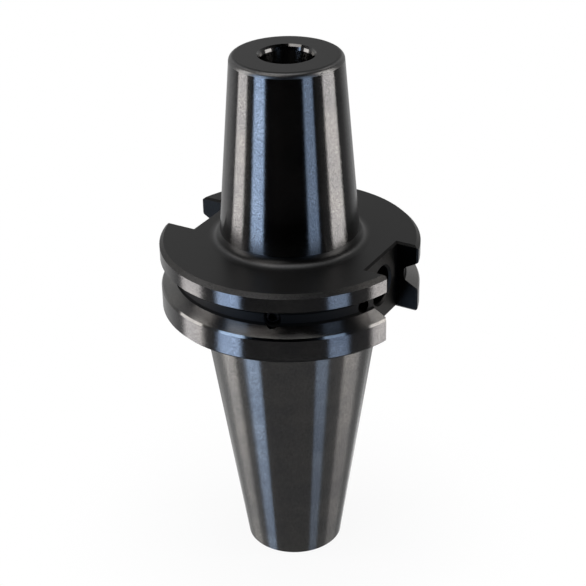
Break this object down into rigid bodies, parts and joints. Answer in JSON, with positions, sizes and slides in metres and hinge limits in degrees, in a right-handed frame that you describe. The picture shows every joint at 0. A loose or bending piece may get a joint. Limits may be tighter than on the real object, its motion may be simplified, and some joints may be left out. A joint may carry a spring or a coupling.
{
  "type": "shrink fit tool holder",
  "caption": "Steep-taper tool holder with a V-flange, two drive slots and a slim tapered nose, whose plain bore is heated to grip a round tool shank.",
  "frame": {"origin": "on the axis at the gauge line of the taper", "axes": "+Z along the axis towards the nose; the drive slots lie on the X axis, the shallow one with the balance hole at +X"},
  "size_m": [0.0612, 0.0634, 0.1333],
  "materials": {
    "holder_steel": "black oxide, satin where ground and matte where turned",
    "screw_steel": "black oxide, matte"
  },
  "bodies": {
    "root": {"holder_body": "holder_steel", "plug_screw": "screw_steel", "length_stop_screw": "screw_steel"}
  },
  "joints": []
}
